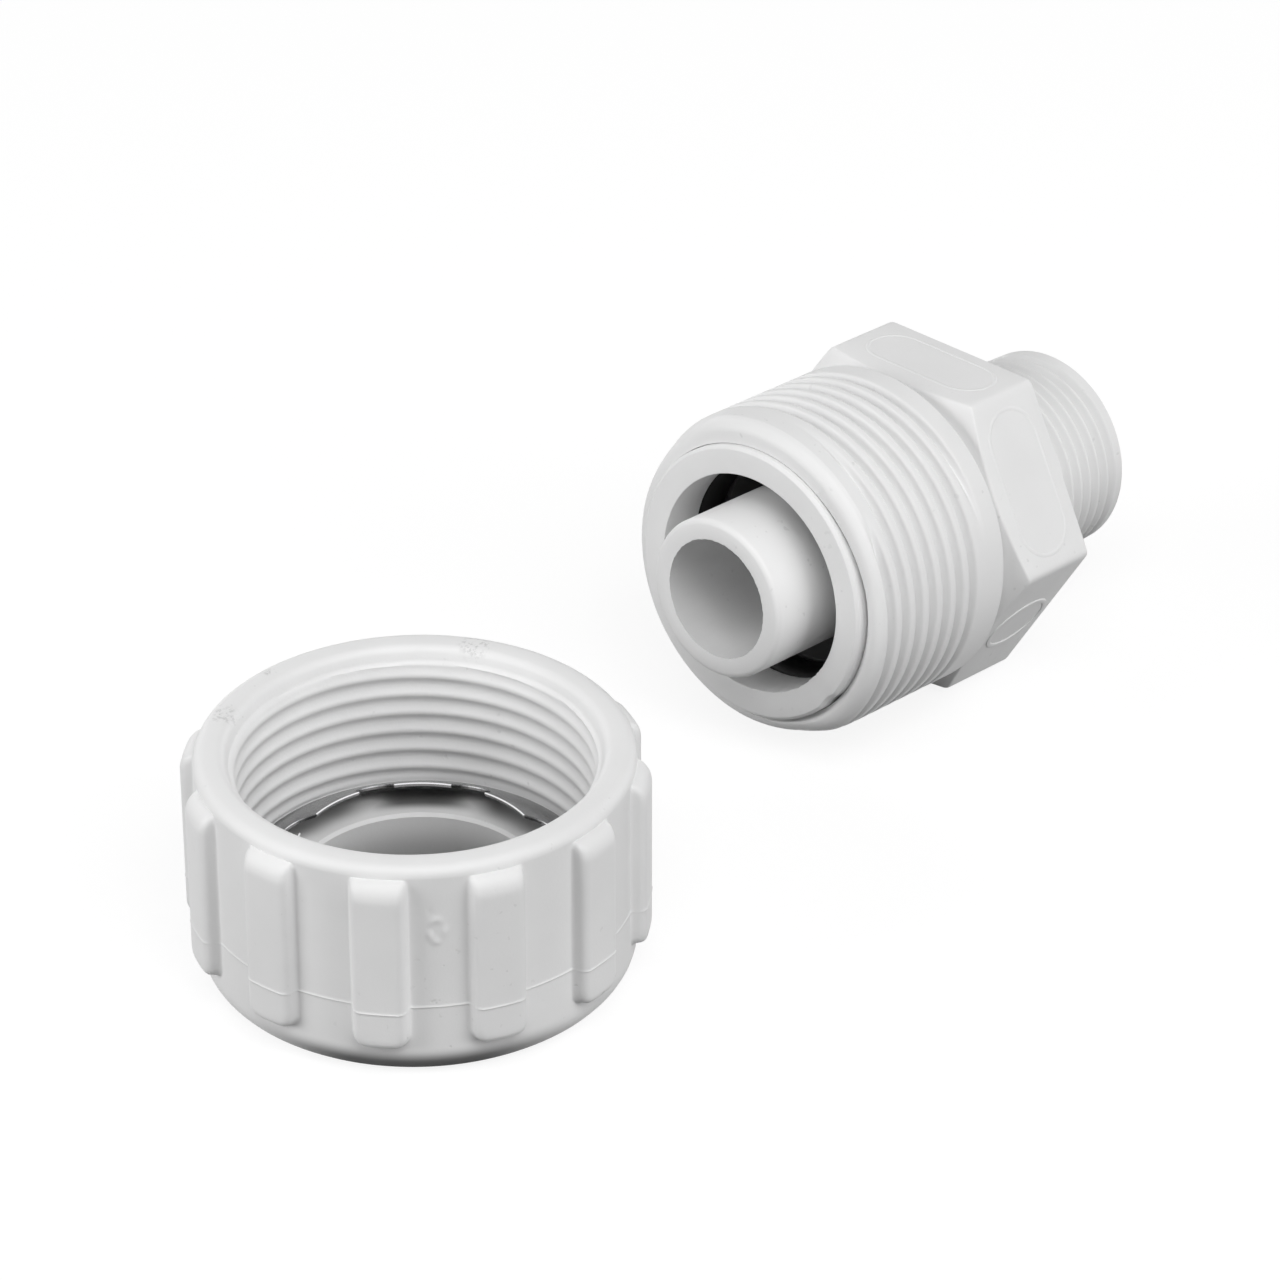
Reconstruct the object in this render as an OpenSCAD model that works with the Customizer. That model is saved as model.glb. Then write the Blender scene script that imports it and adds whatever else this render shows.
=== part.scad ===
// Compression joint for plastic pipe: a male threaded body with a stiffener tube,
// a seal and a retainer ring in its mouth, and a clamp nut that holds a toothed grip ring.
// The nut is off: it stands open end up, and the body lies on its side behind it.

/* [Pipe] */
// Outside diameter of the pipe that the joint grips
pipe_d = 26.7; // [25:0.1:27.4]
// Gap between the pipe and the socket it slides into, on the radius
socket_clearance = 0.25; // [0.15:0.05:0.5]
// Gap between the pipe and the holes it passes through first, on the radius
entry_clearance = 0.9; // [0.6:0.05:1.1]

/* [Stiffener tube] */
// Outside diameter of the tube that goes inside the pipe
insert_d = 20.7; // [18.6:0.1:21.4]
// Diameter of the waterway right through the body
waterway_d = 15.6; // [12:0.1:16.4]
// Length of the tube in front of the retainer ring
insert_reach = 6; // [2:0.5:12]
// Rounding of the outer edge of the tube's tip
insert_edge_r = 0.4; // [0.1:0.1:0.8]

/* [Seal and retainer ring] */
// Thickness of the round section seal
seal_section = 4.6; // [4:0.1:4.8]
// Squeeze of the seal on the pipe, on the radius
seal_squeeze = 0.25; // [0.1:0.05:0.4]
// Gap round the seal in its pocket, on the radius
seal_clearance = 0.25; // [0.1:0.05:0.35]
// Gap at each end of the seal
seal_end_gap = 0.1; // [0.05:0.05:0.2]
// Length of the retainer ring
retainer_h = 6.1; // [4.5:0.1:8]
// Gap round the retainer ring in the pocket, on the radius
retainer_clearance = 0.1; // [0.05:0.05:0.2]
// Length that the retainer ring stands out of the body
retainer_stand = 0.9; // [0.3:0.1:1.5]
// Chamfer of the retainer ring's front outer edge
retainer_chamfer = 0.85; // [0.4:0.05:1.2]

/* [Body] */
// Crest diameter of the coarse thread
body_d = 42; // [41.4:0.1:44]
// Depth of the socket behind the retainer ring's face
socket_depth = 22; // [18:0.5:23]
// Length of the front lip's chamfer where the thread starts at once
lip_chamfer = 0.9; // [0.6:0.1:1.2]
// Length of the front lip's chamfer on the other side, where the thread is led in
lip_lead_in = 2.3; // [1.2:0.1:3]
// Drop of the lip's front edge below the thread root
lip_drop = 0.3; // [0:0.05:0.6]
// Distance from the retainer ring's face to the back of the collar
barrel_len = 24; // [23.8:0.1:30]
// Width of the turned groove between collar and hexagon
neck_w = 1.1; // [0.6:0.1:2]
// Depth of that groove below the thread root
neck_drop = 0.4; // [0.2:0.1:0.8]

/* [Coarse thread] */
// Pitch of the coarse thread
coarse_pitch = 2.54; // [2.3:0.01:2.56]
// Depth of the coarse thread
coarse_depth = 1.33; // [0.8:0.01:1.4]
// Number of turns of the groove on the body
groove_turns = 7.08; // [4:0.02:7.1]
// Height of the nut's thread ridge
ridge_h = 1.05; // [0.6:0.05:1.3]
// Plain length between the nut's thread and its mouth
ridge_gap = 0.14; // [0.1:0.02:2]
// Gap between the two threads, on the radius
thread_clearance = 0.25; // [0.15:0.05:0.4]

/* [Hexagon] */
// Width across the flats
hex_af = 40; // [39.8:0.1:41.6]
// Length of the hexagon along the flats
hex_len = 13.1; // [10:0.1:20]
// Rounding of the six corners
hex_corner_r = 1.2; // [0.5:0.1:2]
// Slope of the turned face towards the collar
hex_face_angle = 22.5; // [15:0.5:30]

/* [Pipe thread] */
// Crest diameter at the free end
tail_d = 26; // [24:0.1:27]
// Length of the tapered thread behind the hexagon
tail_len = 19.8; // [15:0.1:26]
// Pitch of the tapered thread
fine_pitch = 1.814; // [1.6:0.002:2]
// Depth of the tapered thread
fine_depth = 1.2; // [0.8:0.05:1.3]
// Plain length between hexagon and thread
tail_runout = 0.9; // [0.4:0.1:1.5]
// Chamfer at the free end, on the radius
tail_chamfer = 0.65; // [0.3:0.05:1]

/* [Clamp nut] */
// Height of the nut
nut_h = 28.6; // [28:0.1:34]
// Diameter of the nut's wall
nut_d = 51.4; // [50.5:0.1:56]
// Height of the floor inside
nut_floor = 9.9; // [8:0.1:10]
// Rounding of the lower outer edge
nut_foot_r = 3.3; // [2:0.1:4.5]
// Rounding of the upper outer edge
nut_rim_r = 0.7; // [0.4:0.1:1.4]
// Plain length of the mouth above the thread
mouth_len = 1.5; // [1:0.1:2.2]
// Gap round the body's thread in the mouth, on the radius
mouth_clearance = 0.8; // [0.6:0.05:1]
// Chamfer on the inner edge of the mouth
mouth_edge = 0.3; // [0.1:0.05:0.5]
// Step at the mouth's foot
shoulder_step = 0.2; // [0.1:0.05:0.4]
// Length of wall below the nut's thread
relief_len = 1.04; // [0.5:0.02:1.5]
// Chamfer on both ends of the pipe hole
hole_chamfer = 0.4; // [0.2:0.1:0.8]

/* [Nut ribs] */
// Number of ribs
rib_count = 12; // [6:1:16]
// Width of a rib
rib_w = 6.5; // [3:0.1:7]
// Height of a rib over the wall
rib_proud = 1.8; // [0.8:0.1:3]
// Height where the ribs begin
rib_foot = 4.8; // [4.6:0.1:8]
// Distance from the nut's rim to the top of the ribs' outer face
rib_drop = 2.7; // [2.6:0.1:6]
// Slope of the ribs' upper end
rib_top_angle = 36; // [30:1:50]
// Rounding of the ribs' lower corners
rib_corner_r = 1.3; // [0.4:0.1:1.5]

/* [Grip ring] */
// Thickness of the sheet
grip_t = 0.6; // [0.4:0.05:1]
// Gap between the ring and the nut's wall, on the radius
grip_clearance = 0.35; // [0.2:0.05:0.6]
// Slope of the sheet
grip_angle = 31; // [20:1:38]
// Number of teeth
tooth_count = 8; // [4:1:10]
// Width of the gap between two teeth
tooth_gap = 4.4; // [2:0.1:5]
// Distance from the teeth's tips to the end of the gaps
tooth_len = 3.2; // [2.6:0.1:4.5]

/* [Layout] */
// Place of the body's mouth beside the nut
mouth_x = -3.2; // [-30:0.1:30]
// Place of the body's mouth behind the nut
mouth_y = 60.9; // [45:0.1:90]

/* [Hidden] */

// Fineness of true curves, of the coarse thread's turns and of the fine thread's turns
smooth = 96;
coarse_steps = 48;
fine_steps = 36;
arc_steps = 5;
// Overshoot of cuts, and the depth that joined solids run into each other
cut = 1;
bury = 1;
// Angle over which a groove deepens and fades out
fade_angle = 45;
// Middle of the lip's long chamfer, and the angle from there to where it is short
lead_in_turn = 150;
lead_in_half = 110;
// Plain length left between a thread and the ring beside it
thread_margin = 0.05;
// Taper of a pipe thread on the radius
pipe_taper = 1 / 32;

pipe_r = pipe_d / 2;
entry_r = pipe_r + entry_clearance;
socket_r = pipe_r + socket_clearance;
insert_r = insert_d / 2;
waterway_r = waterway_d / 2;

seal_r = pipe_r - seal_squeeze + seal_section / 2;
pocket_r = seal_r + seal_section / 2 + seal_clearance;
seal_s = retainer_h + seal_end_gap + seal_section / 2;
pocket_depth = seal_s + seal_section / 2 + seal_end_gap;
retainer_r = pocket_r - retainer_clearance;

crest_r = body_d / 2;
root_r = crest_r - coarse_depth;
lip_end = retainer_stand + lip_chamfer;
neck_r = root_r - neck_drop;
lip_r = root_r - lip_drop;
hex_front = barrel_len + neck_w;
hex_back = hex_front + hex_len;
tail_end = hex_back + tail_len;
tail_base_r = tail_d / 2 + tail_len * pipe_taper;

nut_r = nut_d / 2;
nut_thread_r = crest_r + thread_clearance;
mouth_r = crest_r + mouth_clearance;
mouth_floor = nut_h - mouth_len;
rib_r = nut_r + rib_proud;

grip_r = nut_thread_r - grip_clearance;
tip_r = entry_r;
gap_end_r = tip_r + tooth_len;

// Lying body: the collar and the lower flat's back edge both touch the ground
lean = atan((crest_r - hex_af / 2) / (hex_back - barrel_len));
axis_h = crest_r * cos(lean) + barrel_len * sin(lean);

// Direction of the nut's parts, counted from the right hand side
rib_turn = 5.8;
tooth_turn = -2.3;
nut_thread_turn = -46.8;
body_thread_turn = -44;
tail_thread_turn = -180;

// Thread sections as [share of the pitch, share of the depth]
coarse_profile = [[0, 0], [0.26, 1], [0.36, 1], [0.62, 0], [1, 0]];
fine_profile = [[0, 0], [0.42, 1], [0.84, 0], [1, 0]];

// Points of an arc from one angle to another
function arc(centre, r, from, to) =
    [for (i = [0:arc_steps]) let (a = from + (to - from) * i / arc_steps)
        centre + r * [cos(a), sin(a)]];

// Point on a cylinder
function on_round(r, a, z) = [r * cos(a), r * sin(a), z];

// Bar with a helical groove between two lists of plain rings, each ring as [height, radius],
// the radius a number or a function of the angle. bar_r gives the crest radius at a height
// and angle, and keep corrects the radius of a thread point.
module grooved_bar(low, high, start, pitch, depth, turns, profile, steps, turn, bar_r, keep) {
    last = round(turns * steps);
    rows = len(profile) - 1;
    fade_steps = steps * fade_angle / 360;
    function fade(i) = max(0, min(1, i / fade_steps, (last - i) / fade_steps));
    function angle(i) = turn + 360 * i / steps;
    function thread_point(i, j) =
        let (z = start + pitch * (i / steps + profile[j][0]))
        on_round(keep(z, bar_r(z, angle(i)) - depth * profile[j][1] * fade(i)), angle(i), z);
    function ring(r, z) = [for (i = [0:steps - 1])
        on_round(is_function(r) ? r(angle(i)) : r, angle(i), z)];

    crest = [for (i = [0:last + steps]) thread_point(i, 0)];
    flanks = [for (i = [0:last], j = [1:rows - 1]) thread_point(i, j)];
    points = concat(crest, flanks,
        [for (p = low) each ring(p[1], p[0])], [for (p = high) each ring(p[1], p[0])]);

    flank_base = last + steps + 1;
    low_base = flank_base + len(flanks);
    high_base = low_base + len(low) * steps;
    // Number of a thread point, of a point in a low ring and of one in a high ring
    function v(i, j) = j == 0 ? i : j == rows ? i + steps : flank_base + i * (rows - 1) + j - 1;
    function lo(k, i) = low_base + k * steps + i % steps;
    function hi(k, i) = high_base + k * steps + i % steps;

    function quad(a, b, c, d) = [[a, b, c], [a, c, d]];
    groove = [for (i = [0:last - 1], j = [0:rows - 1])
        each quad(v(i, j), v(i, j + 1), v(i + 1, j + 1), v(i + 1, j))];
    low_band = [for (k = [0:1:len(low) - 2], i = [0:steps - 1])
        each quad(lo(k, i), lo(k + 1, i), lo(k + 1, i + 1), lo(k, i + 1))];
    high_band = [for (k = [0:1:len(high) - 2], i = [0:steps - 1])
        each quad(hi(k, i), hi(k + 1, i), hi(k + 1, i + 1), hi(k, i + 1))];

    top_low = len(low) - 1;
    low_wall = [for (i = [0:steps - 2]) each quad(lo(top_low, i), i, i + 1, lo(top_low, i + 1))];
    low_start = concat([for (j = [0:rows - 1]) [steps - 1, v(0, j + 1), v(0, j)]],
        [[steps - 1, 0, lo(top_low, 0)], [steps - 1, lo(top_low, 0), lo(top_low, steps - 1)]]);
    high_wall = [for (i = [last + 1:last + steps - 1])
        each quad(i, hi(0, i), hi(0, i + 1), i + 1)];
    high_end = concat([for (j = [0:rows - 1]) [last + 1, v(last, j), v(last, j + 1)]],
        [[last + 1, last + steps, hi(0, last)], [last + 1, hi(0, last), hi(0, last + 1)]]);

    top_high = len(high) - 1;
    low_cap = [for (i = [1:steps - 2]) [lo(0, 0), lo(0, i), lo(0, i + 1)]];
    high_cap = [for (i = [1:steps - 2]) [hi(top_high, 0), hi(top_high, i + 1), hi(top_high, i)]];
    polyhedron(points, concat(groove, low_band, high_band, low_wall, low_start,
        high_wall, high_end, low_cap, high_cap));
}

// Turns a piece that stands on its mouth so that it lies on the ground
module laid() {
    translate([mouth_x, mouth_y, axis_h]) rotate([-(90 + lean), 0, 0]) children();
}

// Threaded front of the body with its lip and collar
module barrel() {
    // Share of the long chamfer at an angle, and the chamfered crest radius
    function lead_in(a) = 0.5 + 0.5 * cos(180 * min(1, abs((a - lead_in_turn + 540) % 360 - 180)
        / lead_in_half));
    function chamfered(z, a) = min(crest_r, lip_r + (crest_r - lip_r) * (z - retainer_stand)
        / (lip_chamfer + (lip_lead_in - lip_chamfer) * lead_in(a)));
    grooved_bar([[retainer_stand, lip_r], [lip_end, function(a) chamfered(lip_end, a)]],
        [[barrel_len, crest_r]],
        lip_end + thread_margin, coarse_pitch, coarse_depth, groove_turns, coarse_profile,
        coarse_steps, body_thread_turn, function(z, a) chamfered(z, a),
        function(z, r) max(r, root_r));
}

// Hexagon with rounded corners, its front turned to a cone
module hexagon() {
    corner_at = (hex_af / 2 - hex_corner_r) / cos(30);
    outline = [for (k = [0:5])
        each arc(corner_at * [cos(60 * k), sin(60 * k)], hex_corner_r, 60 * k - 30, 60 * k + 30)];
    cone_r = hex_af;
    inner_r = neck_r - bury;
    intersection() {
        translate([0, 0, barrel_len]) linear_extrude(hex_back - barrel_len) polygon(outline);
        rotate_extrude($fn = smooth) polygon([
            [0, hex_front - bury * tan(hex_face_angle)],
            [inner_r, hex_front - bury * tan(hex_face_angle)],
            [cone_r, hex_front + (cone_r - neck_r) * tan(hex_face_angle)],
            [cone_r, hex_back + cut + cone_r],
            [0, hex_back + cut + cone_r]]);
    }
}

// Tapered pipe thread behind the hexagon
module tail() {
    thread_start = hex_back + tail_runout;
    thread_end = tail_end - tail_chamfer - 2 * thread_margin;
    turns = (thread_end - thread_start) / fine_pitch - 1;
    function taper_r(z) = tail_base_r - (z - hex_back) * pipe_taper;
    grooved_bar([[hex_back - bury, tail_base_r], [thread_start - thread_margin, taper_r(thread_start)]],
        [[tail_end - tail_chamfer, tail_d / 2], [tail_end, tail_d / 2 - tail_chamfer]],
        thread_start, fine_pitch, fine_depth, turns, fine_profile,
        fine_steps, tail_thread_turn, function(z, a) taper_r(z), function(z, r) r);
}

// Stiffener tube, its foot sunk in the socket's floor
module insert_tube() {
    rotate_extrude($fn = smooth) polygon(concat(
        [[0, -insert_reach]],
        arc([insert_r - insert_edge_r, insert_edge_r - insert_reach], insert_edge_r, -90, 0),
        [[insert_r, socket_depth + bury], [0, socket_depth + bury]]));
}

module fitting_body() {
    color("whitesmoke") laid() difference() {
        union() {
            difference() {
                union() {
                    barrel();
                    translate([0, 0, socket_depth - bury])
                        cylinder(h = hex_front - socket_depth + 2 * bury, r = neck_r, $fn = smooth);
                    hexagon();
                    tail();
                }
                cylinder(h = pocket_depth, r = pocket_r, $fn = smooth);
                cylinder(h = socket_depth, r = socket_r, $fn = smooth);
            }
            insert_tube();
        }
        translate([0, 0, -insert_reach - cut])
            cylinder(h = tail_end + insert_reach + 2 * cut, r = waterway_r, $fn = smooth);
    }
}

// Ring that keeps the seal in its pocket
module retainer_ring() {
    color("whitesmoke") laid() rotate_extrude($fn = smooth) polygon([
        [entry_r, 0],
        [retainer_r - retainer_chamfer, 0],
        [retainer_r, retainer_chamfer],
        [retainer_r, retainer_h],
        [entry_r, retainer_h]]);
}

module seal_ring() {
    color("dimgray") laid() translate([0, 0, seal_s])
        rotate_extrude($fn = smooth) translate([seal_r, 0]) circle(d = seal_section, $fn = 32);
}

// Wall and floor of the nut before its thread is cut
module nut_blank() {
    rotate_extrude($fn = smooth) polygon(concat(
        [[entry_r, hole_chamfer], [entry_r + hole_chamfer, 0]],
        arc([nut_r - nut_foot_r, nut_foot_r], nut_foot_r, -90, 0),
        arc([nut_r - nut_rim_r, nut_h - nut_rim_r], nut_rim_r, 0, 90),
        [[mouth_r + mouth_edge, nut_h], [mouth_r, nut_h - mouth_edge]],
        [[mouth_r, mouth_floor], [entry_r, mouth_floor]]));
}

// Space inside the nut, with the thread's ridge left standing in it
module nut_cavity() {
    shoulder_r = mouth_r - shoulder_step;
    top = mouth_floor + mouth_len / 2;
    thread_start = nut_floor + relief_len;
    turns = (mouth_floor - ridge_gap - thread_start) / coarse_pitch - 1;
    function lead_in(z) = min(shoulder_r, shoulder_r - (mouth_floor - z));
    grooved_bar([[nut_floor, nut_thread_r]], [[top, shoulder_r]],
        thread_start, coarse_pitch, ridge_h, turns, coarse_profile,
        coarse_steps, nut_thread_turn, function(z, a) nut_thread_r,
        function(z, r) max(r, lead_in(z)));
}

// Outline of a rib as seen from outside
module rib_face() {
    half = rib_w / 2 - rib_corner_r;
    polygon(concat(
        arc([half, rib_foot + rib_corner_r], rib_corner_r, -90, 0),
        arc([half, nut_h - nut_rim_r - rib_corner_r], rib_corner_r, 0, 90),
        arc([-half, nut_h - nut_rim_r - rib_corner_r], rib_corner_r, 90, 180),
        arc([-half, rib_foot + rib_corner_r], rib_corner_r, 180, 270)));
}

// Ribs round the nut's wall, each rooted in it
module ribs() {
    root = nut_r - bury;
    face_top = nut_h - rib_drop;
    intersection() {
        rotate_extrude($fn = smooth) polygon([
            [root, 0],
            [rib_r, 0],
            [rib_r, face_top],
            [root, face_top + (rib_r - root) * tan(rib_top_angle)]]);
        for (k = [0:rib_count - 1])
            rotate([0, 0, rib_turn + 360 * k / rib_count]) translate([root - bury, 0, 0])
                rotate([90, 0, 90]) linear_extrude(rib_proud + 3 * bury) rib_face();
    }
}

module clamp_nut() {
    color("whitesmoke") difference() {
        union() {
            nut_blank();
            ribs();
        }
        nut_cavity();
        translate([0, 0, nut_floor - 2 * hole_chamfer])
            cylinder(h = 3 * hole_chamfer, r1 = entry_r - hole_chamfer,
                r2 = entry_r + 2 * hole_chamfer, $fn = smooth);
    }
}

// Dished spring ring whose teeth bite the pipe
module grip_ring() {
    rise = (grip_r - tip_r) * tan(grip_angle);
    lift = grip_t / cos(grip_angle);
    color("silver") translate([0, 0, nut_floor]) difference() {
        rotate_extrude($fn = smooth) polygon([
            [grip_r, 0],
            [grip_r, lift],
            [tip_r, rise + lift],
            [tip_r, rise]]);
        for (k = [0:tooth_count - 1])
            rotate([0, 0, tooth_turn + 360 * (k + 0.5) / tooth_count]) {
                translate([0, -tooth_gap / 2, -cut])
                    cube([gap_end_r - tooth_gap / 2, tooth_gap, rise + lift + 2 * cut]);
                translate([gap_end_r - tooth_gap / 2, 0, -cut])
                    cylinder(h = rise + lift + 2 * cut, d = tooth_gap, $fn = smooth);
            }
    }
}

fitting_body();
retainer_ring();
seal_ring();
clamp_nut();
grip_ring();
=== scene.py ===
import math

import bmesh
import bpy
import numpy as np
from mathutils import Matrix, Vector


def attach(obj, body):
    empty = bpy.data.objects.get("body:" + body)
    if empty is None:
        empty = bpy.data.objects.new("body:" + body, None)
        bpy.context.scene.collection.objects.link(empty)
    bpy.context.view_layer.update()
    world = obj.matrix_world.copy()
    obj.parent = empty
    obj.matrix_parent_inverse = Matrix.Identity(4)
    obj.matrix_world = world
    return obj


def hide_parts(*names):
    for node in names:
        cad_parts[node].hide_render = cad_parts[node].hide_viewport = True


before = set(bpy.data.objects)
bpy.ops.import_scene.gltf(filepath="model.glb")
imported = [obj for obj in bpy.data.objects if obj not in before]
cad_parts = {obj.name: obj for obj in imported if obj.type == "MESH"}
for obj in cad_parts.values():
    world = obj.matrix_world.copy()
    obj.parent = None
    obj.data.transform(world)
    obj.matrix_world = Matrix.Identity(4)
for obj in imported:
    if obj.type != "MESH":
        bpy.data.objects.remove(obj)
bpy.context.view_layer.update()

print("frame loaded:", sorted(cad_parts))

# Lengths are in millimetres and angles in degrees, up to the meshes, which are in metres
metresPerUnit = 0.001

layout = {
    "mouthX": -3.2,
    "mouthY": 60.9,
    "collarRadius": 21.0,
    "flatRadius": 20.0,
    "collarBack": 24.0,
    "hexagonBack": 38.2,
}
lean = math.atan(
    (layout["collarRadius"] - layout["flatRadius"])
    / (layout["hexagonBack"] - layout["collarBack"])
)
axisHeight = layout["collarRadius"] * math.cos(lean) + layout["collarBack"] * math.sin(lean)


def laid(points):
    # from the body's own axes, with height along the axis, to where it lies on the ground
    x, y, s = points.T
    return np.column_stack([
        x + layout["mouthX"],
        layout["mouthY"] + s * math.cos(lean) - y * math.sin(lean),
        axisHeight - s * math.sin(lean) - y * math.cos(lean),
    ])


# A skin collects points and faces. Its rings have one point for each of its angles.
def newSkin(angles):
    return {"angles": np.array(angles, float), "points": [], "faces": [], "finish": []}


def addPoints(skin, heights, radii, angles):
    a = np.radians(angles)
    first = len(skin["points"])
    skin["points"] += zip(radii * np.cos(a), radii * np.sin(a), heights)
    return list(range(first, first + len(a)))


def addRing(skin, height, radius):
    # height and radius are each one number or one for every angle
    a = skin["angles"]
    return addPoints(skin, np.broadcast_to(height, a.shape), np.broadcast_to(radius, a.shape), a)


def addFace(skin, corners, finish=0):
    kept = [c for i, c in enumerate(corners) if c != corners[i - 1]]
    if len(set(kept)) > 2:
        skin["faces"].append(kept)
        skin["finish"].append(finish)


def bridge(skin, rings, finish=0):
    for low, high in zip(rings, rings[1:]):
        for i in range(len(low)):
            k = (i + 1) % len(low)
            addFace(skin, (low[i], low[k], high[k], high[i]), finish)


def roundedPath(corners, steps=3):
    # corners are (height, radius, rounding); the result has an arc at each rounded corner
    path = []
    for i, (height, radius, rounding) in enumerate(corners):
        here = np.array((height, radius))
        if rounding == 0 or i in (0, len(corners) - 1):
            path.append((height, radius))
            continue
        back = np.array(corners[i - 1][:2]) - here
        ahead = np.array(corners[i + 1][:2]) - here
        back /= np.linalg.norm(back)
        ahead /= np.linalg.norm(ahead)
        half = math.acos(max(-1, min(1, back @ ahead))) / 2
        centre = here + (back + ahead) / np.linalg.norm(back + ahead) * rounding / math.sin(half)
        reach = rounding / math.tan(half)
        start, end = here + back * reach - centre, here + ahead * reach - centre
        for k in range(steps + 1):
            share = k / steps
            sweep = math.pi - 2 * half
            arm = (math.sin((1 - share) * sweep) * start + math.sin(share * sweep) * end)
            path.append(tuple(centre + arm / math.sin(sweep)))
    return path


def ringsOf(skin, path):
    return [addRing(skin, height, radius) for height, radius in path]


# Thread section over one pitch, as shares of pitch and depth: fall, root, rise, flat crest
def softRamp(x, soft):
    start = (np.clip(x, -soft, soft) + soft) ** 2 / (4 * soft)
    middle = np.clip(x, soft, 1 - soft) - soft
    end = soft - (1 + soft - np.clip(x, 1 - soft, 1 + soft)) ** 2 / (4 * soft)
    return start + middle + end


def sectionRows(section):
    fall, root, rise, soft = (section[k] for k in ("fall", "root", "rise", "soft"))
    ramp = [*np.linspace(-soft, soft, 4), *np.linspace(1 - soft, 1 + soft, 4)]
    rows = [fall * t for t in ramp] + [fall + root + rise * t for t in ramp]
    return sorted(set(np.round(rows + [(max(rows) + 1 + min(rows)) / 2], 5)))


def threadRadius(thread, turned, heights):
    # turned counts the degrees from the thread's start, between 0 and 360
    section = thread["section"]
    travel = (heights - thread["start"]) / thread["pitch"] - turned / 360
    lead = section["fall"] * section["soft"] + 1e-6
    turn = np.floor(travel + lead)
    p = travel - turn
    depth = softRamp(p / section["fall"], section["soft"]) - softRamp(
        (p - section["fall"] - section["root"]) / section["rise"], section["soft"]
    )
    depth = depth * thread["depth"]
    if "fade" in thread:
        depth = depth * thread["fade"](360 * turn + turned)
    return thread["wall"](heights, turned, depth)


def threadWall(skin, thread, low, high, lowHeight, highHeight):
    # helical rows of faces between two plain rings, cut off where they reach the rings
    n = len(skin["angles"])
    first = int(np.argmin(np.abs((skin["angles"] - thread["turn"] + 180) % 360 - 180)))
    order = (np.arange(n) + first) % n
    turned = (skin["angles"][order] - skin["angles"][first]) % 360
    rows = sectionRows(thread["section"])
    turns = range(-2, math.ceil((highHeight - thread["start"]) / thread["pitch"]) + 2)
    snap = 0.04  # a point this close to a plain ring's height joins the ring
    grid = []
    for turn in turns:
        for row in rows:
            heights = thread["start"] + thread["pitch"] * (turned / 360 + turn + row)
            clear = np.clip(heights, lowHeight, highHeight)
            radii = threadRadius(thread, turned, clear)
            made = addPoints(skin, clear, radii, skin["angles"][order])
            line = []
            for i in range(n):
                below = heights[i] < lowHeight + snap
                above = heights[i] > highHeight - snap
                line.append(low[order[i]] if below else high[order[i]] if above else made[i])
            grid.append(line)
    for r in range(len(grid) - 1):
        for i in range(n):
            if i < n - 1:
                right = (grid[r][i + 1], grid[r + 1][i + 1])
            elif r + len(rows) + 1 < len(grid):
                right = (grid[r + len(rows)][0], grid[r + len(rows) + 1][0])
            else:
                continue
            addFace(skin, (grid[r][i], right[0], right[1], grid[r + 1][i]))


def nearTurn(angles, turn):
    # degrees between each angle and a turn, without sign
    return np.abs((angles - turn + 180) % 360 - 180)


def eased(share):
    return share * share * (3 - 2 * share)


def smoothShare(values, low, high):
    return eased(np.clip((values - low) / (high - low), 0, 1))


def ragged(angles):
    # an uneven cut edge: fixed waves that never repeat closely
    a = np.radians(angles)
    return 0.5 + 0.1 * np.sin(19 * a + 1) + 0.15 * np.sin(43 * a + 4) + 0.25 * np.sin(97 * a + 2)


def makePiece(name, skin, materials, place=None, sharpAngle=38):
    points = np.array(skin["points"], float)
    if place is not None:
        points = place(points)
    mesh = bpy.data.meshes.new(name)
    mesh.from_pydata((points * metresPerUnit).tolist(), [], skin["faces"])
    mesh.polygons.foreach_set("material_index", skin["finish"])
    work = bmesh.new()
    work.from_mesh(mesh)
    bmesh.ops.delete(work, geom=[v for v in work.verts if not v.link_faces], context="VERTS")
    bmesh.ops.recalc_face_normals(work, faces=work.faces)
    openEdges = sum(not e.is_manifold for e in work.edges)
    work.to_mesh(mesh)
    work.free()
    mesh.polygons.foreach_set("use_smooth", [True] * len(mesh.polygons))
    mesh.set_sharp_from_angle(angle=math.radians(sharpAngle))
    for material in materials:
        mesh.materials.append(material)
    piece = bpy.data.objects.new(name, mesh)
    bpy.context.scene.collection.objects.link(piece)
    print(name, "has", len(mesh.polygons), "faces and", openEdges, "open edges")
    return piece


# Materials: a node group gives masks and bump heights, and each material uses them on its shader
def newGroup(name, inputs, outputs):
    group = bpy.data.node_groups.new(name, "ShaderNodeTree")
    for label, kind, value in inputs:
        socket = group.interface.new_socket(label, in_out="INPUT", socket_type=kind)
        if value is not None:
            socket.default_value = value
    for label, kind in outputs:
        group.interface.new_socket(label, in_out="OUTPUT", socket_type=kind)
    return group, group.nodes.new("NodeGroupInput"), group.nodes.new("NodeGroupOutput")


def mathNode(tree, operation, *values):
    # each value is a number or a socket
    node = tree.nodes.new("ShaderNodeMath")
    node.operation = operation
    for socket, value in zip(node.inputs, values):
        if isinstance(value, (int, float)):
            socket.default_value = value
        else:
            tree.links.new(value, socket)
    return node.outputs[0]


def noiseNode(tree, place, scale, detail, roughness=0.5):
    noise = tree.nodes.new("ShaderNodeTexNoise")
    tree.links.new(place, noise.inputs["Vector"])
    noise.inputs["Scale"].default_value = scale
    noise.inputs["Detail"].default_value = detail
    noise.inputs["Roughness"].default_value = roughness
    return noise.outputs["Fac"]


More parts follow.
